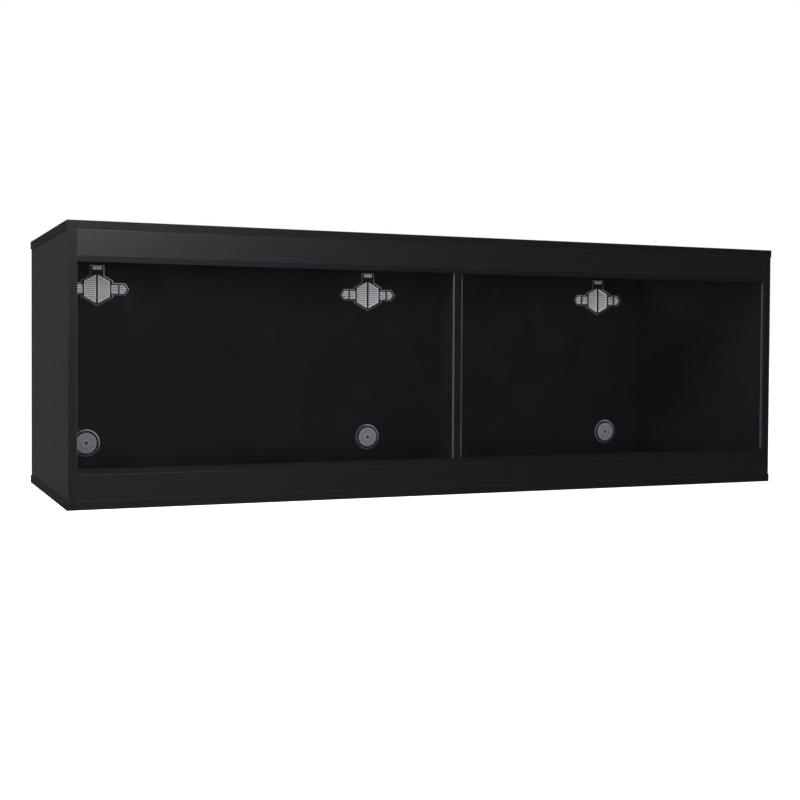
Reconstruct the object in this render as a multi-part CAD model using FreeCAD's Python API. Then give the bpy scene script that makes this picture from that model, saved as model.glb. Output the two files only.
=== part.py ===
# Wide black board cabinet with two sliding glass doors, three vents and three cable ports.
# +X runs along the front to the right, +Y from the front to the back, +Z up.
# Origin: middle of the overall footprint, on the underside of the bottom panel. Units: mm.
import FreeCAD, Part
import math
import os

V = FreeCAD.Vector

# ---- carcass
width = 1150.0                # over the ends of the top and bottom panels
carcass_depth = 386.0         # front edge to rear face of the boards
height = 385.0                # underside to top
board = 12.0                  # melamine-faced board, all panels
side_inset = 1.5              # the side panels stand in from the ends of the top and bottom
fascia_height = 35.0          # upper and lower front rails
strut_depth = 46.0            # centre strut, front to back
arris = 0.5                   # rounding of every board edge
spare = 1.0                   # how far a cutting shape runs past what it cuts

# ---- glass and its tracks
glass = 4.0                   # thickness of a door
glass_arris = 0.4             # ground and polished edge
glass_side_gap = 0.3          # door face to channel wall
glass_lift_gap = 0.3          # door bottom to channel floor
door_end_gap = 1.0            # door end to side panel when shut
door_overlap = 17.0           # one shut door over the other
track_wall = 1.45             # the three upright walls of a track
track_height = 7.5            # what shows of a track past its fascia
track_setback = 0.3           # track face behind the fascia face
lower_channel = 3.0           # channel depth in the lower track
upper_channel = 6.3           # deeper, so that a door lifts out of the lower track
door_top_engage = 2.6         # door inside the upper channel while it stands in the lower
fin_width = 2.0               # barbed fin that holds a track in its fascia
fin_depth = 6.0
fin_gap = 0.05                # fin to groove, each side
strut_gap = 0.15              # track to strut

# ---- vents
vent_pitch = 472.0            # middle vent to the other two
vent_height = 312.0           # centre of the hexagon above the underside
hex_half_width = 26.0         # flange hexagon, points up and down
hex_apex = 28.0
hex_side = 13.6               # half height of its upright sides
arm_half = 9.8                # side arms of the flange
arm_shoulder = 45.6
arm_tip = 52.0
tab_half = 11.6               # tab above the hexagon
tab_top = 38.0
flange = 2.2                  # thickness of the inside flange
flange_bevel = 1.2
rim = 5.4                     # flange edge to the opening, on the upright sides of the hexagon
slant_rim = 3.7               # the same on its four slanted sides
arm_rim = 2.4                 # flange edge to the openings of the arms
vent_bar = 3.0                # bar down the middle of the hexagon
arm_bar = 2.3                 # bars across the arms
lip = 2.0                     # flange edge to the outside of the sleeve
sleeve_wall = 1.2
cutout_gap = 0.3              # sleeve to board
insert_gap = 0.1              # insert to sleeve
insert_wall = 0.9
insert_face = 1.2             # thickness of the slatted face
insert_end_gap = 0.9          # end of the insert to the rear spigot
slat_pitch = 3.2
slat_slot = 1.0               # open height between two slats
slot_margin = 0.9             # solid edge round each slatted field
rear_plate = 1.5              # rear retaining plates stand this far off the boards
rear_bevel = 0.7
spigot_wall = 1.0
spigot_length = 3.6
tab_recess = 0.8              # sunk window in the tab
tab_window_side = 1.6         # window to the sides of the tab
tab_window_top = 0.4
tab_ribs = 5                  # grip ribs in the window
tab_rib_width = 1.9
tab_rib_height = 5.0
tab_rib_gap = 0.3             # ribs to the top of the window

# ---- cable ports
port_pitch = 489.5            # middle port to the other two
port_height = 62.0
port_flange_r = 21.8
port_flange = 3.6             # ring stands off the board
port_ring_round = 2.2
port_well_r = 19.0            # inside of the ring
port_floor = 1.0              # floor of the well
port_tube_wall = 1.9
port_bore_r = 15.9
port_hole_gap = 0.2           # tube to board
cap_r = 17.0                  # crest of the knurled edge
cap_thick = 3.0
cap_lobes = 16
cap_scallop = 0.85            # depth of a scallop
cap_gap = 0.3                 # cap to sleeve, all running faces
cap_legs = 4                  # legs behind the cap, inside the bore
cap_leg_wall = 1.6
cap_leg = 6.0                 # length of a leg
cap_leg_half_angle = 20.0     # degrees
lug_proud = 0.8               # bayonet lugs on two of the legs
lug_length = 2.0
lug_from_end = 1.0
lug_half_angle = 9.0          # degrees
cap_turn = 60.0               # degrees from locked to the entry slots
probe_hole_r = 1.5            # blind centre hole, drilled through for a lead when one is wanted
probe_hole = 2.3              # its depth
probe_dish_r = 2.8
probe_dish = 0.9
grip_groove = 0.35            # depth of the radial grooves on the cap face
grip_groove_width = 0.8
grip_groove_from = 6.9        # from the middle of the cap
grip_groove_to = 14.1
cap_crest_share = 0.6         # how much of each lobe the scallops take

# ---- fixings
screw_r = 2.0
screw_tip_r = 0.3
screw_tip = 6.0               # length of the point
screw_fin_clear = 4.4         # tip of a fascia screw to the track fin
screw_hole_spare = 2.0        # hole past the tip
screw_head_r = 3.9
screw_head_rim = 0.3
screw_gap = 0.05
recess_width = 1.0            # cross recess
recess_span = 4.4
recess_depth = 1.6
plug_r = 5.1                  # push-in plugs over the upper screws
plug = 1.6
plug_gap = 0.1
head_sink = 0.4               # lower heads below the underside
dowel_r = 3.0
dowel_length = 24.0
dowel_in_face = 8.0           # dowel inside the panel it enters through the face
dowel_gap = 0.1
dowel_end_gap = 0.5
dowel_chamfer = 0.7
side_screw_inset = 30.0       # first and last side screw from front and rear
side_dowel_inset = 62.0
back_screw_inset = 110.0      # outer rear screws from the inside of the side panels
back_screws = 4
fascia_screw_share = 0.5      # of the way from the strut to the side panel
fascia_dowel_inset = 9.0      # from the edge of a fascia that meets the top or bottom panel
fascia_dowel_clear = 2.0      # dowel to the end of the track fin
strut_screw_inset = 12.0      # from front and rear of the strut

# ---- derived places
overall_depth = carcass_depth + rear_plate
front_y = -overall_depth / 2
half = width / 2
side_out = half - side_inset
side_in = side_out - board
top_under = height - board
back_in = front_y + carcass_depth - board
back_out = front_y + carcass_depth
channel = glass + 2 * glass_side_gap
track_width = 2 * channel + 3 * track_wall
track_front = front_y + track_setback
front_glass_y = track_front + track_wall + glass_side_gap
rear_glass_y = front_glass_y + channel + track_wall
strut_front = front_y + max(board, track_setback + track_width) + strut_gap
lower_fascia_top = board + fascia_height
upper_fascia_under = top_under - fascia_height
lower_track_top = lower_fascia_top + track_height
upper_track_under = upper_fascia_under - track_height
door_bottom = lower_track_top - lower_channel + glass_lift_gap
door_top = upper_track_under + door_top_engage
door_width = side_in + door_overlap / 2 - door_end_gap
door_travel = 2 * (side_in - door_end_gap) - door_width
screw_length = board - plug + fascia_height - fin_depth - screw_fin_clear
insert_depth = board - spigot_length - insert_end_gap
centres = {"left": -1, "centre": 0, "right": 1}

os.makedirs("parts", exist_ok=True)
cuts = {"top": [], "bottom": [], "left": [], "right": [], "back": [], "upper": [], "lower": [], "strut": []}


def block(x0, x1, y0, y1, z0, z1):
    return Part.makeBox(x1 - x0, y1 - y0, z1 - z0, V(x0, y0, z0))


def rounded(shape, radius):
    return shape.makeFillet(radius, shape.Edges)


def prism(points, y0, y1):
    # upright outline given as (x, z), pushed from y0 back to y1
    wire = Part.makePolygon([V(x, y0, z) for x, z in points + points[:1]])
    return Part.Face(wire).extrude(V(0, y1 - y0, 0))


def disc(r, y0, y1, x=0.0, z=0.0):
    return Part.makeCylinder(r, y1 - y0, V(x, y0, z), V(0, 1, 0))


def ring(r_out, r_in, y0, y1):
    return disc(r_out, y0, y1).cut(disc(r_in, y0, y1))


def fused(shapes):
    return shapes[0].multiFuse(shapes[1:]).removeSplitter()


def save(name, shapes):
    solids = shapes if isinstance(shapes, list) else [shapes]
    solids = [s for shape in solids for s in shape.Solids]
    result = solids[0] if len(solids) == 1 else Part.makeCompound(solids)
    for solid in solids:
        if not solid.isValid() or solid.Volume <= 0:
            raise RuntimeError(name + " is not a sound solid")
    result.exportStep("parts/" + name + ".step")
    print(name, len(solids), "solids", round(sum(s.Volume for s in solids) / 1000, 2), "cm3")


# ---- fixings: each one adds its own holes to the panels it passes through

def screw(x, y, z, up):
    # head at z, thread running up or down into the edge of the second board
    way = V(0, 0, 1 if up else -1)
    head = screw_head_r - screw_r
    body = [Part.makeCylinder(screw_head_r, screw_head_rim, V(x, y, z), way)]
    body.append(Part.makeCone(screw_head_r, screw_r, head, V(x, y, z) + way * screw_head_rim, way))
    body.append(Part.makeCylinder(screw_r, screw_length - screw_tip, V(x, y, z), way))
    tip = V(x, y, z) + way * (screw_length - screw_tip)
    body.append(Part.makeCone(screw_r, screw_tip_r, screw_tip, tip, way))
    solid = fused(body)
    z0 = z if up else z - recess_depth
    a = recess_span / 2
    b = recess_width / 2
    solid = solid.cut(block(x - a, x + a, y - b, y + b, z0, z0 + recess_depth))
    return solid.cut(block(x - b, x + b, y - a, y + a, z0, z0 + recess_depth))


def screw_hole(x, y, z, up, sink):
    # sink is how far the head sits below the face, with a bore of sink_r over it
    depth, sink_r = sink
    way = V(0, 0, 1 if up else -1)
    head = V(x, y, z)
    head_r = screw_head_r + screw_gap
    hole_r = screw_r + screw_gap
    rim_depth = screw_head_rim + screw_gap
    hole = [Part.makeCylinder(sink_r, depth, head - way * depth, way)]
    hole.append(Part.makeCylinder(head_r, rim_depth, head, way))
    hole.append(Part.makeCone(head_r, hole_r, head_r - hole_r, head + way * rim_depth, way))
    hole.append(Part.makeCylinder(hole_r, screw_length + screw_hole_spare, head, way))
    return fused(hole)


def dowel(start, way):
    c = dowel_chamfer
    parts = [Part.makeCone(dowel_r - c, dowel_r, c, start, way)]
    parts.append(Part.makeCylinder(dowel_r, dowel_length - 2 * c, start + way * c, way))
    parts.append(Part.makeCone(dowel_r, dowel_r - c, c, start + way * (dowel_length - c), way))
    return fused(parts)


def dowel_hole(start, way):
    length = dowel_length + 2 * dowel_end_gap
    return Part.makeCylinder(dowel_r + dowel_gap, length, start - way * dowel_end_gap, way)


side_mid = side_in + board / 2
fascia_mid = front_y + board / 2
back_mid = back_in + board / 2
fascia_screw_x = fascia_screw_share * side_in
back_x = side_in - back_screw_inset
side_ys = [front_y + side_screw_inset, front_y + carcass_depth / 2, back_out - side_screw_inset]
strut_ys = [strut_front + strut_screw_inset, strut_front + strut_depth - strut_screw_inset]

# (x, y, board that takes the thread), the same over the top and under the bottom
places = [(sign * side_mid, y, name) for sign, name in ((-1, "left"), (1, "right")) for y in side_ys]
places += [(-back_x + 2 * back_x * i / (back_screws - 1), back_mid, "back") for i in range(back_screws)]
places += [(sign * fascia_screw_x, fascia_mid, "fascia") for sign in (-1, 1)]
places += [(0.0, y, "strut") for y in strut_ys]

top_screws = []
bottom_screws = []
plugs = []
for x, y, name in places:
    top_screws.append(screw(x, y, height - plug, False))
    hole = screw_hole(x, y, height - plug, False, (plug, plug_r + plug_gap))
    cuts["top"].append(hole)
    cuts["upper" if name == "fascia" else name].append(hole)
    plugs.append(Part.makeCylinder(plug_r, plug, V(x, y, height - plug), V(0, 0, 1)))
    bottom_screws.append(screw(x, y, head_sink, True))
    hole = screw_hole(x, y, head_sink, True, (head_sink, screw_head_r + screw_gap))
    cuts["bottom"].append(hole)
    cuts["lower" if name == "fascia" else name].append(hole)

dowels = []
for sign, side in ((-1, "left"), (1, "right")):
    for y in (front_y + side_dowel_inset, back_out - side_dowel_inset):
        for z, way, panel in ((board - dowel_in_face, 1, "bottom"), (top_under + dowel_in_face, -1, "top")):
            start = V(sign * side_mid, y, z)
            dowels.append(dowel(start, V(0, 0, way)))
            cuts[panel].append(dowel_hole(start, V(0, 0, way)))
            cuts[side].append(dowel_hole(start, V(0, 0, way)))
    fin_side = fascia_height - fin_depth - fascia_dowel_clear - dowel_r
    for rail, z0, up in (("lower", board, 1), ("upper", top_under, -1)):
        for z in (z0 + up * fascia_dowel_inset, z0 + up * fin_side):
            start = V(sign * (side_in + dowel_in_face), fascia_mid, z)
            dowels.append(dowel(start, V(-sign, 0, 0)))
            cuts[rail].append(dowel_hole(start, V(-sign, 0, 0)))
            cuts[side].append(dowel_hole(start, V(-sign, 0, 0)))

# ---- tracks

def track(z_face, z_root, channel_depth):
    # z_face is the visible lip, z_root the edge of the fascia that it stands on
    up = 1 if z_face > z_root else -1
    low, high = sorted((z_face, z_root))
    body = block(-side_in, side_in, track_front, track_front + track_width, low, high)
    fin_y = front_y + board / 2
    low, high = sorted((z_root, z_root - up * fin_depth))
    body = fused([body, block(-side_in, side_in, fin_y - fin_width / 2, fin_y + fin_width / 2, low, high)])
    low, high = sorted((z_face, z_face - up * channel_depth))
    for y in (front_glass_y, rear_glass_y):
        y0 = y - glass_side_gap
        body = body.cut(block(-side_in - spare, side_in + spare, y0, y0 + channel, low, high))
    groove_y = fin_width / 2 + fin_gap
    low, high = sorted((z_root, z_root - up * (fin_depth + dowel_end_gap)))
    ends = side_in + spare
    groove = block(-ends, ends, fin_y - groove_y, fin_y + groove_y, low, high)
    return body, groove


upper_track, groove = track(upper_track_under, upper_fascia_under, upper_channel)
cuts["upper"].append(groove)
lower_track, groove = track(lower_track_top, lower_fascia_top, lower_channel)
cuts["lower"].append(groove)


def door(x0, y0):
    plate = block(x0, x0 + door_width, y0, y0 + glass, door_bottom, door_top)
    return plate.makeChamfer(glass_arris, plate.Edges)


# ---- vents, drawn round x = 0, z = 0 and moved into place

def body_face(shrink):
    # hexagon with its two side arms, every edge moved in by shrink
    hexagon = [(0, hex_apex), (hex_half_width, hex_side), (hex_half_width, -hex_side)]
    hexagon += [(0, -hex_apex), (-hex_half_width, -hex_side), (-hex_half_width, hex_side)]
    arms = [(arm_shoulder, arm_half), (arm_tip, 0), (arm_shoulder, -arm_half)]
    arms += [(-x, z) for x, z in reversed(arms)]
    whole = fused([prism(hexagon, 0, spare), prism(arms, 0, spare)])
    face = min(whole.Faces, key=lambda f: f.CenterOfMass.y)
    if shrink:
        face = face.makeOffset2D(-shrink, 2)
    return face


def body_solid(shrink, y0, y1):
    face = body_face(shrink).copy()
    face.translate(V(0, y0 - face.BoundBox.YMin, 0))
    return face.extrude(V(0, y1 - y0, 0))


def fields(shrink, y0, y1):
    # the six slatted fields: two half hexagons and two cells in each arm
    slope = (hex_apex - hex_side) / hex_half_width
    a = hex_half_width - rim
    top = hex_apex - slant_rim * math.sqrt(1 + slope * slope)
    cell = arm_half - arm_rim - shrink
    tip_slope = arm_half / (arm_tip - arm_shoulder)
    tip = arm_tip - arm_rim * math.sqrt(1 + tip_slope * tip_slope) / tip_slope
    inner = a + arm_bar
    middle = (inner + arm_tip - arm_rim - arm_bar) / 2
    x0 = vent_bar / 2 + shrink
    x1 = a - shrink
    drop = shrink * math.sqrt(1 + slope * slope)
    result = []
    for sign in (-1, 1):
        half_hex = [(x0, top - drop - slope * x0), (x1, top - drop - slope * x1)]
        half_hex += [(x, -z) for x, z in reversed(half_hex)]
        box_cell = [(inner + shrink, cell), (middle - arm_bar / 2 - shrink, cell)]
        box_cell += [(x, -z) for x, z in reversed(box_cell)]
        tip_in = tip - shrink * math.sqrt(1 + tip_slope * tip_slope) / tip_slope
        shoulder = tip_in - cell / tip_slope
        tip_cell = [(middle + arm_bar / 2 + shrink, cell), (shoulder, cell), (tip_in, 0)]
        tip_cell += [(x, -z) for x, z in reversed(tip_cell[:2])]
        for outline in (half_hex, box_cell, tip_cell):
            result.append(prism([(sign * x, z) for x, z in outline], y0, y1))
    return result


def vent_frame():
    plate = body_solid(0, back_in - flange, back_in)
    tab = block(-tab_half, tab_half, back_in - flange, back_in, 0, tab_top)
    plate = fused([plate, tab])
    front_edges = [e for e in plate.Edges if e.BoundBox.YMax < back_in - flange / 2]
    plate = plate.makeChamfer(flange_bevel, front_edges)
    sleeve = body_solid(lip, back_in, back_out).cut(body_solid(lip + sleeve_wall, back_in, back_out))
    plate = fused([plate, sleeve])
    for field in fields(0, back_in - flange - spare, back_in):
        plate = plate.cut(field)
    # sunk window in the tab with a row of upright grip ribs
    side = tab_half - flange_bevel - tab_window_side
    low = hex_apex + flange_bevel
    high = tab_top - flange_bevel - tab_window_top
    face_y = back_in - flange
    plate = plate.cut(block(-side, side, face_y - spare, face_y + tab_recess, low, high))
    span = 2 * side - 3 * tab_rib_width
    for i in range(tab_ribs):
        a = -(span + tab_rib_width) / 2 + span * i / (tab_ribs - 1)
        z = high - tab_rib_gap
        plate = plate.fuse(block(a, a + tab_rib_width, face_y, back_in, z - tab_rib_height, z))
    return plate.removeSplitter()


def slots(y0, y1, rise):
    # level slots through every field, rise above the middle of the vent
    rows = int(hex_apex / slat_pitch)
    combs = []
    for i in range(-rows, rows + 1):
        z = i * slat_pitch + rise - slat_slot / 2
        combs.append(block(-arm_tip, arm_tip, y0, y1, z, z + slat_slot))
    comb = Part.makeCompound(combs)
    found = []
    for field in fields(slot_margin, y0, y1):
        found += field.common(comb).Solids
    return Part.makeCompound(found)


def vent_insert():
    edge = lip + sleeve_wall + insert_gap
    body = body_solid(edge, back_in, back_in + insert_depth)
    end = back_in + insert_depth + spare
    body = body.cut(body_solid(edge + insert_wall, back_in + insert_face, end))
    return body.cut(slots(back_in - spare, back_in + insert_face + spare, 0))


def vent_rear():
    # its slats stand behind the slots of the insert, so that nothing shines straight through
    plate = body_solid(0, back_out, back_out + rear_plate)
    rear_edges = [e for e in plate.Edges if e.BoundBox.YMin > back_out + rear_plate / 2]
    plate = plate.makeChamfer(rear_bevel, rear_edges)
    edge = lip + sleeve_wall + insert_gap
    spigot = body_solid(edge, back_out - spigot_length, back_out + rear_plate / 2)
    plate = fused([plate, spigot])
    plate = plate.cut(body_solid(edge + spigot_wall, back_out - spigot_length - spare, back_out))
    return plate.cut(slots(back_out - spare, back_out + rear_plate + spare, slat_pitch / 2))


# ---- cable ports, drawn round x = 0, z = 0

def sector(r, half_angle, y0, y1):
    # wedge of a disc about +X, from its axis to r
    reach = 2 * r * math.tan(half_angle)
    wedge = prism([(0, 0), (2 * r, -reach), (2 * r, reach)], y0, y1)
    return disc(r, y0, y1).common(wedge)


def port_sleeve():
    tube_r = port_bore_r + port_tube_wall
    flange_ring = disc(port_flange_r, back_in - port_flange, back_in)
    outer = [e for e in flange_ring.Edges if e.BoundBox.YMax < back_in - port_flange / 2]
    flange_ring = flange_ring.makeFillet(port_ring_round, outer)
    well = disc(port_well_r, back_in - port_flange - spare, back_in - port_floor)
    body = flange_ring.cut(well)
    body = fused([body, disc(tube_r, back_in - port_floor, back_out)])
    body = body.cut(disc(port_bore_r, back_in - port_flange, back_out + spare))
    # annular bayonet groove and its two entry slots
    groove_r = port_bore_r + lug_proud
    lug_end = back_in - port_floor - cap_gap + cap_leg - lug_from_end
    body = body.cut(ring(groove_r, port_bore_r - spare, lug_end - lug_length - cap_gap, lug_end + cap_gap))
    slot_half = math.radians(lug_half_angle) + cap_gap / port_bore_r
    for turn in (0, 180):
        slot = sector(groove_r, slot_half, back_in - port_flange, lug_end)
        slot.rotate(V(0, 0, 0), V(0, 1, 0), cap_turn + turn)
        body = body.cut(slot)
    return body.removeSplitter()


def port_cap():
    face_y = back_in - port_floor - cap_gap
    front = face_y - cap_thick
    body = disc(cap_r, front, face_y)
    lobe = math.pi * cap_r / cap_lobes
    cutter_r = (lobe * lobe * cap_crest_share + cap_scallop * cap_scallop) / (2 * cap_scallop)
    for i in range(cap_lobes):
        a = 2 * math.pi * i / cap_lobes
        reach = cap_r + cutter_r - cap_scallop
        x = reach * math.cos(a)
        body = body.cut(disc(cutter_r, front - spare, face_y + spare, x, reach * math.sin(a)))
    for i in range(cap_lobes):
        w = grip_groove_width / 2
        groove = block(grip_groove_from, grip_groove_to, front - spare, front + grip_groove, -w, w)
        groove.rotate(V(0, 0, 0), V(0, 1, 0), (i + 0.5) * 360 / cap_lobes)
        body = body.cut(groove)
    leg_r = port_bore_r - cap_gap
    pieces = [body]
    for i in range(cap_legs):
        leg = sector(leg_r, math.radians(cap_leg_half_angle), face_y, face_y + cap_leg)
        leg = leg.cut(disc(leg_r - cap_leg_wall, face_y, face_y + cap_leg))
        leg.rotate(V(0, 0, 0), V(0, 1, 0), i * 360 / cap_legs)
        pieces.append(leg)
    lug_end = face_y + cap_leg - lug_from_end
    for turn in (0, 180):
        lug = sector(leg_r + lug_proud, math.radians(lug_half_angle), lug_end - lug_length, lug_end)
        lug = lug.cut(disc(leg_r - cap_leg_wall / 2, lug_end - lug_length, lug_end))
        lug.rotate(V(0, 0, 0), V(0, 1, 0), turn)
        pieces.append(lug)
    body = fused(pieces)
    body = body.cut(Part.makeCone(probe_dish_r, probe_hole_r, probe_dish, V(0, front, 0), V(0, 1, 0)))
    return body.cut(disc(probe_hole_r, front - spare, front + probe_hole))


def port_rear():
    plate = disc(port_flange_r, back_out, back_out + rear_plate)
    rear_edges = [e for e in plate.Edges if e.BoundBox.YMin > back_out + rear_plate / 2]
    plate = plate.makeChamfer(rear_bevel, rear_edges)
    spigot = disc(port_bore_r - insert_gap, back_out - spigot_length, back_out + rear_plate / 2)
    body = fused([plate, spigot])
    inner = port_bore_r - insert_gap - spigot_wall
    return body.cut(disc(inner, back_out - spigot_length - spare, back_out + rear_plate + spare))


def moved(shape, x, z):
    copy = shape.copy()
    copy.translate(V(x, 0, z))
    return copy


vent_parts = {"vent_frame": vent_frame(), "vent_insert": vent_insert(), "vent_rear_plate": vent_rear()}
port_parts = {"port_sleeve": port_sleeve(), "port_cap": port_cap(), "port_rear_ring": port_rear()}
cutout = body_solid(lip - cutout_gap, back_in - spare, back_out + spare)
port_hole = disc(port_bore_r + port_tube_wall + port_hole_gap, back_in - spare, back_out + spare)
for where, step in centres.items():
    cuts["back"].append(moved(cutout, step * vent_pitch, vent_height))
    cuts["back"].append(moved(port_hole, step * port_pitch, port_height))

# ---- boards
low, high = board, top_under
boards = {
    "top_panel": ("top", (-half, half, front_y, back_out, top_under, height)),
    "bottom_panel": ("bottom", (-half, half, front_y, back_out, 0, board)),
    "left_side_panel": ("left", (-side_out, -side_in, front_y, back_out, low, high)),
    "right_side_panel": ("right", (side_in, side_out, front_y, back_out, low, high)),
    "back_panel": ("back", (-side_in, side_in, back_in, back_out, low, high)),
    "upper_fascia": ("upper", (-side_in, side_in, front_y, front_y + board, upper_fascia_under, high)),
    "lower_fascia": ("lower", (-side_in, side_in, front_y, front_y + board, low, lower_fascia_top)),
    "centre_strut": ("strut", (-board / 2, board / 2, strut_front, strut_front + strut_depth, low, high)),
}
for name, (key, extent) in boards.items():
    save(name, rounded(block(*extent), arris).cut(Part.makeCompound(cuts[key])))

save("upper_glass_track", upper_track)
save("lower_glass_track", lower_track)
save("left_glass_door", door(door_end_gap - side_in, rear_glass_y))
save("right_glass_door", door(side_in - door_end_gap - door_width, front_glass_y))
for where, step in centres.items():
    for name, shape in vent_parts.items():
        save(where + "_" + name, moved(shape, step * vent_pitch, vent_height))
    for name, shape in port_parts.items():
        save(where + "_" + name, moved(shape, step * port_pitch, port_height))
save("top_screws", top_screws)
save("bottom_screws", bottom_screws)
save("screw_plugs", plugs)
save("alignment_dowels", dowels)
print("door", round(door_width, 2), "x", round(door_top - door_bottom, 2), "travel", round(door_travel, 2))
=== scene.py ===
import math

import bmesh
import bpy
from mathutils import Matrix, Vector


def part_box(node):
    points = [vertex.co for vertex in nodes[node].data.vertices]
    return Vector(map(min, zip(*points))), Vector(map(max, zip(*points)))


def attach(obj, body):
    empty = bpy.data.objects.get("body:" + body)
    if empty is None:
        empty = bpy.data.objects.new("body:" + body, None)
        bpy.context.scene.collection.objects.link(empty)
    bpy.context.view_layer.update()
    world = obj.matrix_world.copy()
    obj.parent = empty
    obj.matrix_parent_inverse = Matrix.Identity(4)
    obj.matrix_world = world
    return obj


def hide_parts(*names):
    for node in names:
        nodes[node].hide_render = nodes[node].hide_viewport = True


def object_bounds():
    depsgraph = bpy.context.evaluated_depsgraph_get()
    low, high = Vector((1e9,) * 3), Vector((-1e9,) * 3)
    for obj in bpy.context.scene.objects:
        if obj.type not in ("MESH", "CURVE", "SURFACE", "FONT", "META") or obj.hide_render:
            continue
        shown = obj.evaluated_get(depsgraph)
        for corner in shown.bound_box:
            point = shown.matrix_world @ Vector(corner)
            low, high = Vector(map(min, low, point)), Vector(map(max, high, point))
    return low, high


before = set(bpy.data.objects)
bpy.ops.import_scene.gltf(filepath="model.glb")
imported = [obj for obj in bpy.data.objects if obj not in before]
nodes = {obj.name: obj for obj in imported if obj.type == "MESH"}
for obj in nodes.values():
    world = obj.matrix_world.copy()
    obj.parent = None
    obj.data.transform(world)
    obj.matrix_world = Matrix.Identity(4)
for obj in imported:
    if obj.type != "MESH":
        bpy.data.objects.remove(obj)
cadLow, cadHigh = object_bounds()
mm = 0.001
white = (1.0, 1.0, 1.0, 1.0)
print("frame loaded:", len(nodes), "nodes")


def linear(hexCode):  # sRGB hex to the linear colour that the shaders take
    channels = [int(hexCode[i:i + 2], 16) / 255 for i in (1, 3, 5)]
    return [c / 12.92 if c <= 0.04045 else ((c + 0.055) / 1.055) ** 2.4 for c in channels] + [1.0]


def addNode(tree, kind, settings=None, inputs=None):
    # settings are the node's own choices, inputs are plain values or (node, output) pairs to link
    node = tree.nodes.new(kind)
    for key, value in (settings or {}).items():
        setattr(node, key, value)
    for key, value in (inputs or {}).items():
        if isinstance(value, tuple) and isinstance(value[0], bpy.types.Node):
            tree.links.new(value[0].outputs[value[1]], node.inputs[key])
        else:
            node.inputs[key].default_value = value
    return node


def newMaterial(name):
    material = bpy.data.materials.new(name)
    material.use_nodes = True
    tree = material.node_tree
    tree.nodes.clear()
    return material, tree, addNode(tree, "ShaderNodeTexCoord")


def surfaced(material, shader):
    addNode(material.node_tree, "ShaderNodeOutputMaterial", inputs={"Surface": (shader, 0)})
    return material


def varied(tree, colour, noise, reach, level=1.0):
    # the colour at a level of brightness, lighter and darker by up to that share as the noise goes
    tone = addNode(tree, "ShaderNodeMapRange",
                   inputs={"Value": (noise, 0), "To Min": level * (1 - reach), "To Max": level * (1 + reach)})
    return addNode(tree, "ShaderNodeMix", {"data_type": "RGBA", "blend_type": "MULTIPLY"},
                   {"Factor": 1.0, "A": colour, "B": (tone, 0)})


def between(tree, value, low, high):
    # 1 where the value lies between low and high
    above = addNode(tree, "ShaderNodeMath", {"operation": "GREATER_THAN"}, {0: value, 1: low})
    below = addNode(tree, "ShaderNodeMath", {"operation": "LESS_THAN"}, {0: value, 1: high})
    return addNode(tree, "ShaderNodeMath", {"operation": "MULTIPLY"}, {0: (above, 0), 1: (below, 0)})


def painted(tree, base, masks, colour):
    # the base with another colour where every mask is 1
    mask = masks[0]
    for other in masks[1:]:
        mask = addNode(tree, "ShaderNodeMath", {"operation": "MULTIPLY"}, {0: (mask, 0), 1: (other, 0)})
    return addNode(tree, "ShaderNodeMix", {"data_type": "RGBA"}, {"Factor": (mask, 0), "A": base, "B": colour})


def dress(material, *names):  # the CAD node keeps its mesh and takes this finish
    for name in names:
        slots = nodes[name].data.materials
        slots.clear()
        slots.append(material)


# ---------- camera and studio

cameraSpot = {
    "leftOfCabinet": 250.4 * mm,  # from its left end
    "inFront": 1703.2 * mm,       # from its front plane
    "height": 215.3 * mm,
    "turn": 22.574,               # degrees to the right of straight on
    "tilt": -1.277,
    "roll": 0.332,
    "lens": 56.91,                # millimetres, as the sensor is
    "sensor": 36.0,
    "shiftX": 0.0164,
    "shiftY": -0.0271,
    "farthest": 200.0,            # metres, well past the edge of the floor
}
studio = {
    "floorHex": "#e6e6e5",
    "floorGlow": 1.0,             # keeps the floor as pale as the surround
    "floorSize": 60.0,            # metres
    "floorDrop": 0.5 * mm,        # below the cabinet, so that the two never share a plane
    "floorPatches": 1.5,          # to the metre
    "floorUneven": 0.03,
    "floorFade": (-0.6, 0.1),     # metres from front to back, over which its mirror image brightens
    "surroundPower": 1.0,         # as seen behind the cabinet
    "fillPower": 0.175,           # what the surround gives to surfaces
    "frontPower": 0.02,           # the dark side of the room, behind the camera
    "roomFade": (-0.55, 0.35),    # y part of the direction, from the dark side to the pale one
}
mirrorless = "low front fill"     # lights the inside without a mirror image in the glass
lamps = {
    # place, aim, size (metres), watts
    mirrorless: ((-0.3, -3.2, 0.35), (0.0, 0.0, 0.2), (3.2, 0.7), 102.0),
    "high front softbox": ((-0.9, -2.6, 2.0), (-0.2, 0.0, 0.3), (1.6, 1.0), 12.0),
    "overhead softbox": ((0.0, 0.2, 2.6), (0.0, 0.1, 0.0), (3.0, 2.0), 9.0),
    "corner lamp": ((-0.60, -0.52, 0.72), (-0.62, -0.19, 0.40), (0.3, 0.2), 8.0),
}


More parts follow.
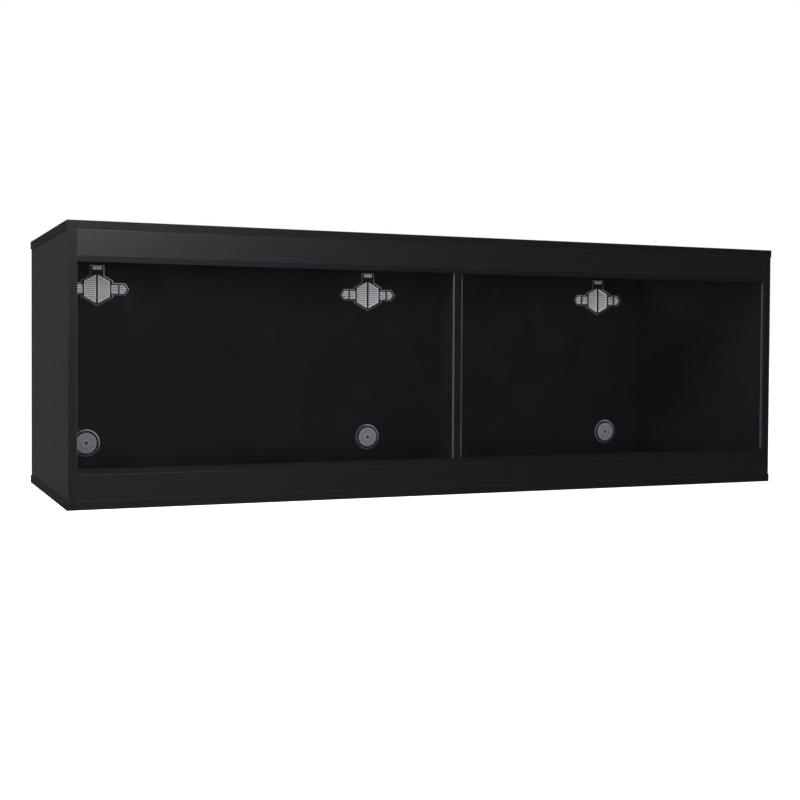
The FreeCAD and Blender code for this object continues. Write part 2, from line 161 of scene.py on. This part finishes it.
def makeCamera(spot):
    turn, tilt = math.radians(spot["turn"]), math.radians(spot["tilt"])
    ahead = Vector((math.sin(turn) * math.cos(tilt), math.cos(turn) * math.cos(tilt), math.sin(tilt)))
    data = bpy.data.cameras.new("camera")
    data.lens = spot["lens"]
    data.sensor_width = spot["sensor"]
    data.shift_x, data.shift_y = spot["shiftX"], spot["shiftY"]
    data.clip_end = spot["farthest"]
    camera = bpy.data.objects.new("camera", data)
    bpy.context.scene.collection.objects.link(camera)
    facing = ahead.to_track_quat("-Z", "Y").to_matrix()
    facing = Matrix.Rotation(math.radians(-spot["roll"]), 3, ahead) @ facing
    place = Vector((cadLow.x - spot["leftOfCabinet"], cadLow.y - spot["inFront"], spot["height"]))
    camera.matrix_world = Matrix.Translation(place) @ facing.to_4x4()
    bpy.context.scene.camera = camera


def litRays(tree, rays):
    # 1 for the rays that light or mirror in a surface, 0 for what the camera sees directly or through glass
    return addNode(tree, "ShaderNodeMath", {"operation": "MAXIMUM"},
                   {0: (rays, "Is Diffuse Ray"), 1: (rays, "Is Glossy Ray")})


def makeWorld(look):
    # a pale surround that shows behind the cabinet, with the room darker towards the camera
    world = bpy.data.worlds.new("studio surround")
    bpy.context.scene.world = world
    world.use_nodes = True
    tree = world.node_tree
    tree.nodes.clear()
    where = addNode(tree, "ShaderNodeTexCoord")
    split = addNode(tree, "ShaderNodeSeparateXYZ", inputs={"Vector": (where, "Generated")})
    power = addNode(tree, "ShaderNodeMapRange", {"interpolation_type": "SMOOTHSTEP"},
                    {"Value": (split, "Y"), "From Min": look["roomFade"][0], "From Max": look["roomFade"][1],
                     "To Min": look["frontPower"], "To Max": look["fillPower"]})
    fill = addNode(tree, "ShaderNodeBackground", inputs={"Color": white, "Strength": (power, "Result")})
    seen = addNode(tree, "ShaderNodeBackground", inputs={"Color": white, "Strength": look["surroundPower"]})
    lit = litRays(tree, addNode(tree, "ShaderNodeLightPath"))
    both = addNode(tree, "ShaderNodeMixShader", inputs={0: (lit, 0), 1: (seen, 0), 2: (fill, 0)})
    addNode(tree, "ShaderNodeOutputWorld", inputs={"Surface": (both, 0)})


def makeLights():
    for name, (place, aim, size, watts) in lamps.items():
        data = bpy.data.lights.new(name, "AREA")
        data.shape = "RECTANGLE"
        data.size, data.size_y = size
        data.energy = watts
        light = bpy.data.objects.new(name, data)
        bpy.context.scene.collection.objects.link(light)
        facing = (Vector(aim) - Vector(place)).to_track_quat("-Z", "Y").to_matrix().to_4x4()
        light.matrix_world = Matrix.Translation(Vector(place)) @ facing
        light.visible_glossy = name != mirrorless


def makeFloor(look):
    # painted studio floor, matt and nearly white, lifted to the surround's brightness so that no horizon shows
    material, tree, where = newMaterial("matt painted studio floor")
    mottle = addNode(tree, "ShaderNodeTexNoise",
                     inputs={"Vector": (where, "Object"), "Scale": look["floorPatches"], "Detail": 3.0})
    paint = varied(tree, linear(look["floorHex"]), mottle, look["floorUneven"])
    skin = addNode(tree, "ShaderNodeBsdfDiffuse", inputs={"Color": (paint, "Result")})
    glow = addNode(tree, "ShaderNodeEmission", inputs={"Color": white, "Strength": look["floorGlow"]})
    shown = addNode(tree, "ShaderNodeAddShader", inputs={0: (skin, 0), 1: (glow, 0)})
    at = addNode(tree, "ShaderNodeSeparateXYZ", inputs={"Vector": (where, "Object")})
    mirrored = addNode(tree, "ShaderNodeMapRange",
                       inputs={"Value": (at, "Y"), "From Min": look["floorFade"][0], "From Max": look["floorFade"][1],
                               "To Min": look["frontPower"], "To Max": look["fillPower"]})
    dim = addNode(tree, "ShaderNodeEmission", inputs={"Color": white, "Strength": (mirrored, "Result")})
    rays = addNode(tree, "ShaderNodeLightPath")
    lit = litRays(tree, rays)
    bounced = addNode(tree, "ShaderNodeMixShader", inputs={0: (rays, "Is Glossy Ray"), 1: (skin, 0), 2: (dim, 0)})
    both = addNode(tree, "ShaderNodeMixShader", inputs={0: (lit, 0), 1: (shown, 0), 2: (bounced, 0)})
    mesh = bpy.data.meshes.new("studio_floor")
    half = look["floorSize"] / 2
    mesh.from_pydata([(-half, -half, 0), (half, -half, 0), (half, half, 0), (-half, half, 0)], [], [(0, 1, 2, 3)])
    mesh.materials.append(surfaced(material, both))
    floor = bpy.data.objects.new("studio_floor", mesh)
    floor.location.z = -look["floorDrop"]
    bpy.context.scene.collection.objects.link(floor)


makeCamera(cameraSpot)
makeWorld(studio)
makeFloor(studio)
makeLights()
bpy.context.scene.view_settings.view_transform = "Standard"
print("camera and studio ready")

# ---------- boards: chipboard with a black melamine facing, pressed against a pearl-grained plate

board = {
    "faceHex": "#121214",
    "tapeHex": "#131315",         # ABS edging tape
    "pearl": 1.1 * mm,            # pitch of the pearl grain, drawn a little coarse so that it shows
    "mottle": 9.0 * mm,           # slow unevenness of the pressed sheet
    "uneven": 0.25,               # how far that lightens and darkens the facing
    "tapeLine": 1.6 * mm,         # faint lines along the extruded tape
    "tapeUneven": 0.4,
    "tapeStretch": 0.02,          # draws those lines out along the tape
    "tapeFrom": (0.75, 0.6),      # thin-axis part of the normal, where the facing ends and the tape begins
    "roughness": (0.39, 0.53),
    "specular": 0.32,
    "tapeSpecular": 0.08,         # duller than the facing
    "grain": 0.25,                # strength and depth of the bump
    "grainDepth": 0.12 * mm,
    "arrisPaleWidth": 0.8 * mm,             # width of the paler arris: rubbed wear, and a painted highlight along the edge
    "wornAndHighlightHex": "#1d1d1f",
    "speck": 2.42 * mm,           # of the ragged limit of the rubbing
    "speckReach": 1.76 * mm,
}
panels = {
    # thin axis, and the painted light on its facing: brighter or darker than the plain facing for how much light falls
    # on this board
    "top_panel": (2, 1.0),
    "bottom_panel": (2, 1.0),
    "left_side_panel": (0, 1.0),
    "right_side_panel": (0, 2.2),
    "back_panel": (1, 1.15),
    "upper_fascia": (1, 1.0),
    "lower_fascia": (1, 0.8),
    "centre_strut": (0, 1.4),
}


def rubbedAndHighlitArris(tree, spot, name, look):
    # 1 close to two sides of the board's own box at once, with a ragged limit
    low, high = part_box(name)
    offset = addNode(tree, "ShaderNodeVectorMath", {"operation": "SUBTRACT"}, {0: spot, 1: (low + high) / 2})
    offset = addNode(tree, "ShaderNodeVectorMath", {"operation": "ABSOLUTE"}, {0: (offset, 0)})
    inward = addNode(tree, "ShaderNodeVectorMath", {"operation": "SUBTRACT"}, {0: (high - low) / 2, 1: (offset, 0)})
    gap = addNode(tree, "ShaderNodeSeparateXYZ", inputs={"Vector": (inward, 0)})
    pairs = [addNode(tree, "ShaderNodeMath", {"operation": "MAXIMUM"}, {0: (gap, a), 1: (gap, b)})
             for a, b in ((0, 1), (1, 2), (0, 2))]
    near = pairs[0]
    for pair in pairs[1:]:
        near = addNode(tree, "ShaderNodeMath", {"operation": "MINIMUM"}, {0: (near, 0), 1: (pair, 0)})
    specks = addNode(tree, "ShaderNodeTexNoise", inputs={"Vector": spot, "Scale": 1 / look["speck"], "Detail": 2.0})
    ragged = addNode(tree, "ShaderNodeMath", {"operation": "MULTIPLY"}, {0: (specks, 0), 1: look["speckReach"]})
    depth = addNode(tree, "ShaderNodeMath", {"operation": "SUBTRACT"}, {0: (ragged, 0), 1: (near, 0)})
    return addNode(tree, "ShaderNodeMapRange", inputs={"Value": (depth, 0), "From Min": 0.0, "From Max": look["arrisPaleWidth"]})


def makeBoardFinish(name, look, axis, paintedLitLevel):
    # melamine looks dead black with a soft sheen, its pearl grain breaks up the highlights,
    # and the taped edges are duller, with faint lines along them
    material, tree, where = newMaterial("pearl-grained melamine board, " + name)
    spot = (where, "Object")
    pearl = addNode(tree, "ShaderNodeTexVoronoi", {"feature": "SMOOTH_F1"},
                    {"Vector": spot, "Scale": 1 / look["pearl"], "Smoothness": 0.6})
    mottle = addNode(tree, "ShaderNodeTexNoise",
                     inputs={"Vector": spot, "Scale": 1 / look["mottle"], "Detail": 4.0, "Roughness": 0.6})
    # edging tape: every face that does not look along the thin axis
    normal = addNode(tree, "ShaderNodeSeparateXYZ", inputs={"Vector": (where, "Normal")})
    facing = addNode(tree, "ShaderNodeMath", {"operation": "ABSOLUTE"}, {0: (normal, axis)})
    taped = addNode(tree, "ShaderNodeMapRange",
                    inputs={"Value": (facing, 0), "From Min": look["tapeFrom"][0], "From Max": look["tapeFrom"][1]})
    along = [1.0, 1.0, 1.0]
    along[1 if axis == 0 else 0] = look["tapeStretch"]
    stretched = addNode(tree, "ShaderNodeVectorMath", {"operation": "MULTIPLY"}, {0: spot, 1: along})
    lines = addNode(tree, "ShaderNodeTexNoise",
                    inputs={"Vector": (stretched, 0), "Scale": 1 / look["tapeLine"], "Detail": 3.0})

    # painted light: the facing is brightened or darkened board by board, standing in for how much light reaches it
    face = varied(tree, linear(look["faceHex"]), mottle, look["uneven"], paintedLitLevel)
    tape = varied(tree, linear(look["tapeHex"]), lines, look["tapeUneven"])
    colour = painted(tree, (face, "Result"), [taped], (tape, "Result"))
    # the arrises painted paler: partly rubbed wear, partly a painted highlight where the edge catches the light
    colour = painted(tree, (colour, "Result"), [rubbedAndHighlitArris(tree, spot, name, look)], linear(look["wornAndHighlightHex"]))
    rough = addNode(tree, "ShaderNodeMapRange",
                    inputs={"Value": (mottle, 0), "To Min": look["roughness"][0], "To Max": look["roughness"][1]})
    shine = addNode(tree, "ShaderNodeMapRange",
                    inputs={"Value": (taped, 0), "To Min": look["specular"], "To Max": look["tapeSpecular"]})
    grain = addNode(tree, "ShaderNodeMix", {"data_type": "FLOAT"},
                    {"Factor": (taped, 0), "A": (pearl, "Distance"), "B": (lines, 0)})
    bump = addNode(tree, "ShaderNodeBump",
                   inputs={"Height": (grain, 0), "Strength": look["grain"], "Distance": look["grainDepth"]})
    skin = addNode(tree, "ShaderNodeBsdfPrincipled",
                   inputs={"Base Color": (colour, "Result"), "Roughness": (rough, 0), "Normal": (bump, 0),
                           "Specular IOR Level": (shine, 0)})
    return surfaced(material, skin)


for name, (axis, paintedLitLevel) in panels.items():
    dress(makeBoardFinish(name, board, axis, paintedLitLevel), name)
print("boards faced and edged")

# ---------- glass tracks: extruded PVC

track = {
    "hex": "#121215",
    "dieLine": 0.7 * mm,          # fine lines that the die leaves
    "dieStretch": 0.01,           # draws them out along the track
    "uneven": 0.3,
    "dust": 5.556 * mm,           # patches of dust that dull the gloss
    "roughness": (0.39, 0.55),
    "specular": 0.08,
    "grain": 0.2,                 # strength and depth of the bump
    "grainDepth": 0.05 * mm,
}


def makeTrackFinish(look):
    # neutral black with a dull satin gloss and fine lines from the die along its length
    material, tree, where = newMaterial("extruded PVC track")
    stretched = addNode(tree, "ShaderNodeVectorMath", {"operation": "MULTIPLY"},
                        {0: (where, "Object"), 1: (look["dieStretch"], 1.0, 1.0)})
    lines = addNode(tree, "ShaderNodeTexNoise",
                    inputs={"Vector": (stretched, 0), "Scale": 1 / look["dieLine"], "Detail": 3.0})
    dust = addNode(tree, "ShaderNodeTexNoise",
                   inputs={"Vector": (where, "Object"), "Scale": 1 / look["dust"], "Detail": 5.0})
    colour = varied(tree, linear(look["hex"]), lines, look["uneven"])
    rough = addNode(tree, "ShaderNodeMapRange",
                    inputs={"Value": (dust, 0), "To Min": look["roughness"][0], "To Max": look["roughness"][1]})
    bump = addNode(tree, "ShaderNodeBump",
                   inputs={"Height": (lines, 0), "Strength": look["grain"], "Distance": look["grainDepth"]})
    skin = addNode(tree, "ShaderNodeBsdfPrincipled",
                   inputs={"Base Color": (colour, "Result"), "Roughness": (rough, 0), "Normal": (bump, 0),
                           "Specular IOR Level": look["specular"]})
    return surfaced(material, skin)


dress(makeTrackFinish(track), "upper_glass_track", "lower_glass_track")
print("tracks finished")

# ---------- sliding doors: float glass with ground and polished edges

pane = {
    "tintHex": "#fafafb",
    "arris": 0.4 * mm,
    "arrisSteps": 3,
    "flatLimit": 0.99,            # y part of the normal, above which a face is a flat of the sheet
    "ior": 1.52,
    "reflection": 0.15,           # share of a plain glass surface's reflection that the coating leaves
    "smear": 60.0 * mm,
    "smearRough": (0.01, 0.12),   # roughness of the reflection, wiped clean and smeared
    "dust": 0.0008,
    "dustHex": "#c8ccd0",
    # painted light: the edge colour stands in for the light the sheet gathers into its edge, with the glass's green
    # tint
    "edgeTintAndGlowHex": "#50585b",
    "edgeRipple": 11.11 * mm,
    "edgeUneven": 0.07,
    "edgeRough": 0.12,
    "edgeCoat": 0.5,
}


def makePaneFinish(look):
    # clear to look through, with a weak sharp reflection that wiped smears soften, and a trace of dust
    material, tree, where = newMaterial("low-reflection coated float glass")
    smear = addNode(tree, "ShaderNodeTexNoise",
                    inputs={"Vector": (where, "Object"), "Scale": 1 / look["smear"], "Detail": 6.0, "Distortion": 1.5})
    rough = addNode(tree, "ShaderNodeMapRange",
                    inputs={"Value": (smear, 0), "To Min": look["smearRough"][0], "To Max": look["smearRough"][1]})
    shine = addNode(tree, "ShaderNodeBsdfGlossy", inputs={"Roughness": (rough, 0)})
    clear = addNode(tree, "ShaderNodeBsdfTransparent", inputs={"Color": linear(look["tintHex"])})
    bounce = addNode(tree, "ShaderNodeFresnel", inputs={"IOR": look["ior"]})
    bounce = addNode(tree, "ShaderNodeMath", {"operation": "MULTIPLY"}, {0: (bounce, 0), 1: look["reflection"]})
    sheet = addNode(tree, "ShaderNodeMixShader", inputs={0: (bounce, 0), 1: (clear, 0), 2: (shine, 0)})
    dust = addNode(tree, "ShaderNodeBsdfDiffuse", inputs={"Color": linear(look["dustHex"])})
    # the smears are 0.5 on average, so twice the dust is spread over them
    amount = addNode(tree, "ShaderNodeMath", {"operation": "MULTIPLY"}, {0: (smear, 0), 1: 2 * look["dust"]})
    dusty = addNode(tree, "ShaderNodeMixShader", inputs={0: (amount, 0), 1: (sheet, 0), 2: (dust, 0)})
    return surfaced(material, dusty)


def makePaneEdge(look):
    # the polished edge shows the green of the glass, and the light that the sheet gathers into it is painted into that
    # colour as a thin cool grey line
    material, tree, where = newMaterial("ground and polished glass edge")
    ripple = addNode(tree, "ShaderNodeTexNoise",
                     inputs={"Vector": (where, "Object"), "Scale": 1 / look["edgeRipple"], "Detail": 3.0})
    colour = varied(tree, linear(look["edgeTintAndGlowHex"]), ripple, look["edgeUneven"])
    skin = addNode(tree, "ShaderNodeBsdfPrincipled",
                   inputs={"Base Color": (colour, "Result"), "Roughness": look["edgeRough"], "IOR": look["ior"],
                           "Coat Weight": look["edgeCoat"]})
    return surfaced(material, skin)


def makePane(name, node, body, look, materials):
    low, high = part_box(node)
    mesh = bpy.data.meshes.new(name)
    work = bmesh.new()
    bmesh.ops.create_cube(work, size=1.0)
    for corner in work.verts:
        corner.co = [(low[i] + high[i]) / 2 + corner.co[i] * (high[i] - low[i]) for i in range(3)]
    bmesh.ops.bevel(work, geom=work.edges[:], offset=look["arris"], segments=look["arrisSteps"],
                    profile=0.5, affect="EDGES")
    for face in work.faces:
        face.material_index = 0 if abs(face.normal.y) > look["flatLimit"] else 1
    work.to_mesh(mesh)
    work.free()
    for material in materials:
        mesh.materials.append(material)
    piece = bpy.data.objects.new(name, mesh)
    bpy.context.scene.collection.objects.link(piece)
    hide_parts(node)
    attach(piece, body)


paneFinishes = [makePaneFinish(pane), makePaneEdge(pane)]
makePane("left_door_pane", "left_glass_door", "left_door", pane, paneFinishes)
makePane("right_door_pane", "right_glass_door", "right_door", pane, paneFinishes)
print("glass doors made")

# ---------- vents and cable ports: moulded ABS

grain = {
    "uneven": 0.1,                # how far the flow of the plastic lightens and darkens it
    "flow": 25.0 * mm,
    "strength": 0.15,
    "depth": 0.05 * mm,
    "ior": 1.54,
}
moulding = {
    "hex": "#1b1b20",
    "bevelHighlightHex": "#707079",        # painted highlight on the bevels, seen from the side
    "glintHex": "#f4f4f8",        # painted glint, where they face up and to the right
    "bevelFacing": (0.3, 0.93),   # y part of the normal between which a face is a bevel
    "glintTowards": (0.74, 0.0, 0.67),
    "glintFrom": (0.12, 0.6),     # share of that direction in the normal, from none to full
    "roughness": (0.25, 0.35),
    "spark": 0.5 * mm,            # fine grain that the spark-eroded mould leaves
}
tab = {
    "ribHex": "#ffffff",
    "ribBand": (1.7 * mm, 7.1 * mm),  # below the top of the tab
    "ribReach": 8.0 * mm,         # either side of the middle
    "ribDepth": 0.3 * mm,         # behind the front of the tab
}
insert = {
    "hex": "#dedee0",
    "rimHighlightHex": "#ffffff",
    "roughness": (0.45, 0.55),
    "spark": 0.6 * mm,
    "rim": 1.4 * mm,              # width of the painted highlight on the rim round a cell
    "slope": 0.554,               # of the four slanted sides
    "slantReach": 20.8 * mm,      # middle to a slanted side of the opening
    "sideReach": 20.6 * mm,       # middle to an upright side
    "barHalf": 1.5 * mm,
    "armHalf": 7.4 * mm,
}
cap = {
    "hex": "#8a8a90",
    "grooveShadowHex": "#232326",       # painted shadow in the moulded grooves, the centre hole and the scallops
    "roughness": (0.37, 0.47),
    "spark": 0.6 * mm,
    "grooveFrom": 0.1 * mm,       # behind the front of the cap
}
plug = {"hex": "#131314", "roughness": (0.5, 0.6), "spark": 0.8 * mm}
beyond = 1.0                      # metres, an open end for the masks below
slack = 1.0 * mm                  # lets a mask start a little outside the piece


def makeMoulded(name, look, colourOf=None):
    # moulded ABS: an even colour with a fine spark-eroded grain and a soft gloss
    material, tree, where = newMaterial(name)
    spot = (where, "Object")
    spark = addNode(tree, "ShaderNodeTexNoise", inputs={"Vector": spot, "Scale": 1 / look["spark"], "Detail": 2.0})
    flow = addNode(tree, "ShaderNodeTexNoise", inputs={"Vector": spot, "Scale": 1 / grain["flow"], "Detail": 3.0})
    base = (colourOf(tree, where), "Result") if colourOf else linear(look["hex"])
    colour = varied(tree, base, flow, grain["uneven"])
    rough = addNode(tree, "ShaderNodeMapRange",
                    inputs={"Value": (flow, 0), "To Min": look["roughness"][0], "To Max": look["roughness"][1]})
    bump = addNode(tree, "ShaderNodeBump",
                   inputs={"Height": (spark, 0), "Strength": grain["strength"], "Distance": grain["depth"]})
    skin = addNode(tree, "ShaderNodeBsdfPrincipled",
                   inputs={"Base Color": (colour, "Result"), "Roughness": (rough, 0), "Normal": (bump, 0),
                           "IOR": grain["ior"]})
    return surfaced(material, skin)


def paintedBevelHighlights(tree, where, look):
    # every face between upright and level is a bevel with a painted highlight, palest where it looks up and to the
    # right
    normal = addNode(tree, "ShaderNodeSeparateXYZ", inputs={"Vector": (where, "Normal")})
    facing = addNode(tree, "ShaderNodeMath", {"operation": "ABSOLUTE"}, {0: (normal, "Y")})
    bevel = between(tree, (facing, 0), *look["bevelFacing"])
    towards = addNode(tree, "ShaderNodeVectorMath", {"operation": "DOT_PRODUCT"},
                      {0: (where, "Normal"), 1: look["glintTowards"]})
    glint = addNode(tree, "ShaderNodeMapRange", inputs={"Value": (towards, "Value"), "From Min": look["glintFrom"][0],
                                                        "From Max": look["glintFrom"][1]})
    pale = painted(tree, linear(look["bevelHighlightHex"]), [glint], linear(look["glintHex"]))
    return painted(tree, linear(look["hex"]), [bevel], (pale, "Result"))


def makeFrameFinish(name, look, ribs):
    # the black frame: painted highlights on its bevels, and grip ribs on the tab that are printed white
    low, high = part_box(name)
    middle = (low.x + high.x) / 2

    def colourOf(tree, where):
        edged = paintedBevelHighlights(tree, where, look)
        at = addNode(tree, "ShaderNodeSeparateXYZ", inputs={"Vector": (where, "Object")})
        rib = [between(tree, (at, "Z"), high.z - ribs["ribBand"][1], high.z - ribs["ribBand"][0]),
               between(tree, (at, "X"), middle - ribs["ribReach"], middle + ribs["ribReach"]),
               between(tree, (at, "Y"), low.y - slack, low.y + ribs["ribDepth"])]
        return painted(tree, (edged, "Result"), rib, linear(ribs["ribHex"]))

    return makeMoulded("moulded black ABS, " + name, look, colourOf)


def makeInsertFinish(name, look):
    # light grey slatted insert: the solid rim round each cell gets a painted highlight, paler than the slats
    low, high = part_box(name)
    middle = (low + high) / 2

    def colourOf(tree, where):
        offset = addNode(tree, "ShaderNodeVectorMath", {"operation": "SUBTRACT"}, {0: (where, "Object"), 1: middle})
        offset = addNode(tree, "ShaderNodeVectorMath", {"operation": "ABSOLUTE"}, {0: (offset, 0)})
        away = addNode(tree, "ShaderNodeSeparateXYZ", inputs={"Vector": (offset, 0)})
        steep = math.hypot(1.0, look["slope"])
        slant = addNode(tree, "ShaderNodeVectorMath", {"operation": "DOT_PRODUCT"},
                        {0: (offset, 0), 1: (look["slope"] / steep, 0.0, 1 / steep)})
        hexagon = between(tree, (away, "X"), -slack, look["sideReach"])
        arms = between(tree, (away, "X"), look["sideReach"], beyond)
        colour = linear(look["hex"])
        for field, value, start in ((hexagon, (slant, "Value"), look["slantReach"] - look["rim"]),
                                    (hexagon, (away, "X"), look["sideReach"] - look["rim"]),
                                    (hexagon, (away, "X"), look["barHalf"]),
                                    (arms, (away, "Z"), look["armHalf"] - look["rim"])):
            band = between(tree, value, start, start + look["rim"])
            rimmed = painted(tree, colour, [field, band], linear(look["rimHighlightHex"]))
            colour = (rimmed, "Result")
        return rimmed

    return makeMoulded("moulded light grey ABS, " + name, look, colourOf)


def makeCapFinish(name, look):
    # mid grey cap: painted shadow in the radial grooves of its face
    low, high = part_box(name)

    def colourOf(tree, where):
        at = addNode(tree, "ShaderNodeSeparateXYZ", inputs={"Vector": (where, "Object")})
        behind = between(tree, (at, "Y"), low.y + look["grooveFrom"], high.y + slack)
        return painted(tree, linear(look["hex"]), [behind], linear(look["grooveShadowHex"]))

    return makeMoulded("moulded grey ABS, " + name, look, colourOf)


blackMoulding = makeMoulded("moulded black ABS", moulding)
# port sleeves: the same painted highlights on the rounded edges of the ring
ringMoulding = makeMoulded("moulded black ABS with painted edge highlights", moulding,
                           lambda tree, where: paintedBevelHighlights(tree, where, moulding))
for side in ("left", "centre", "right"):
    dress(makeFrameFinish(side + "_vent_frame", moulding, tab), side + "_vent_frame")
    dress(makeInsertFinish(side + "_vent_insert", insert), side + "_vent_insert")
    dress(makeCapFinish(side + "_port_cap", cap), side + "_port_cap")
    dress(ringMoulding, side + "_port_sleeve")
    dress(blackMoulding, side + "_vent_rear_plate", side + "_port_rear_ring")
dress(makeMoulded("moulded black polyethylene", plug), "screw_plugs")
print("vents and ports finished")

# ---------- screws and dowels

screw = {
    "coatHex": "#17171a",
    "steelHex": "#8b8b8f",
    "rub": 1.1111 * mm,
    "rubbedFrom": (0.62, 0.7),    # the peaks of the rubbing, from coated to bare
    "roughness": 0.38,
    "metallic": 0.9,
}
beech = {
    "hex": "#c79f74",
    "fleckHex": "#a97c50",
    "fleck": 1.4286 * mm,
    "roughness": 0.6,
}


def makeScrewFinish(look):
    # black-coated hardened steel, worn to bare metal on the high spots of the recess
    material, tree, where = newMaterial("black-coated hardened steel")
    rub = addNode(tree, "ShaderNodeTexNoise",
                  inputs={"Vector": (where, "Object"), "Scale": 1 / look["rub"], "Detail": 4.0})
    bare = addNode(tree, "ShaderNodeMapRange",
                   inputs={"Value": (rub, 0), "From Min": look["rubbedFrom"][0], "From Max": look["rubbedFrom"][1]})
    colour = painted(tree, linear(look["coatHex"]), [bare], linear(look["steelHex"]))
    skin = addNode(tree, "ShaderNodeBsdfPrincipled",
                   inputs={"Base Color": (colour, "Result"), "Roughness": look["roughness"],
                           "Metallic": look["metallic"]})
    return surfaced(material, skin)


def makeBeechFinish(look):
    # turned beech: pale pink-brown with short darker flecks along the grain
    material, tree, where = newMaterial("turned beech")
    flecks = addNode(tree, "ShaderNodeTexNoise",
                     inputs={"Vector": (where, "Object"), "Scale": 1 / look["fleck"], "Detail": 4.0})
    colour = painted(tree, linear(look["hex"]), [flecks], linear(look["fleckHex"]))
    skin = addNode(tree, "ShaderNodeBsdfPrincipled",
                   inputs={"Base Color": (colour, "Result"), "Roughness": look["roughness"]})
    return surfaced(material, skin)


dress(makeScrewFinish(screw), "top_screws", "bottom_screws")
dress(makeBeechFinish(beech), "alignment_dowels")
print("fixings finished")
